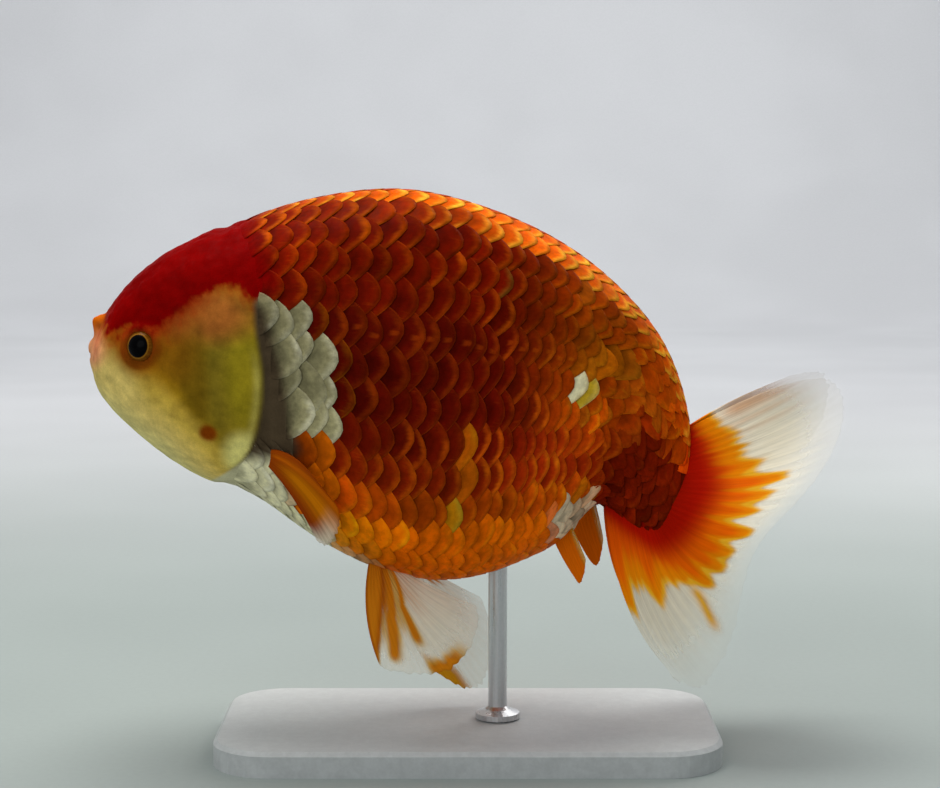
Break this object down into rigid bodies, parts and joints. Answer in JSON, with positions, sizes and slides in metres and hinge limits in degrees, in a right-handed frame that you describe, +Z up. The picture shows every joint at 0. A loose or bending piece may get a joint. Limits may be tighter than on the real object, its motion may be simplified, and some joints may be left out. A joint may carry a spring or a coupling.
{
  "type": "goldfish",
  "caption": "Life-size ranchu goldfish with a deep arched back, no back fin and a forked paired tail, held on a rod above a flat display base.",
  "frame": {"origin": "middle of the underside of the stand's base", "axes": "the fish faces -X, its left side faces -Y, +Z up"},
  "size_m": [0.1489, 0.0574, 0.1123],
  "materials": {
    "red_hood": "satin deep red skin over the crown and snout, pale olive on the cheeks",
    "pale_gill": "satin olive skin, cream along the lower edge",
    "eye": "wet gloss black pupil in a gold iris",
    "orange_scales": "satin overlapping scales, red-orange with yellow rims",
    "orange_fin": "thin ribbed fin, orange at the root and translucent cream at the edge",
    "stand_paint": "fine matt pale grey paint",
    "stand_steel": "brushed"
  },
  "bodies": {
    "root": {"head": "red_hood", "nose_flap_left": "red_hood", "nose_flap_right": "red_hood", "gill_cover_left": "pale_gill", "gill_cover_right": "pale_gill", "eye_left": "eye", "eye_right": "eye", "trunk": "orange_scales", "tail_stem": "orange_scales", "pectoral_fin_left": "orange_fin", "pectoral_fin_right": "orange_fin", "pelvic_fin_left": "orange_fin", "pelvic_fin_right": "orange_fin", "anal_fin_left": "orange_fin", "anal_fin_right": "orange_fin", "tail_fin_upper_left": "orange_fin", "tail_fin_upper_right": "orange_fin", "tail_fin_lower_left": "orange_fin", "tail_fin_lower_right": "orange_fin", "stand_base": "stand_paint", "stand_rod": "stand_steel"}
  },
  "joints": []
}
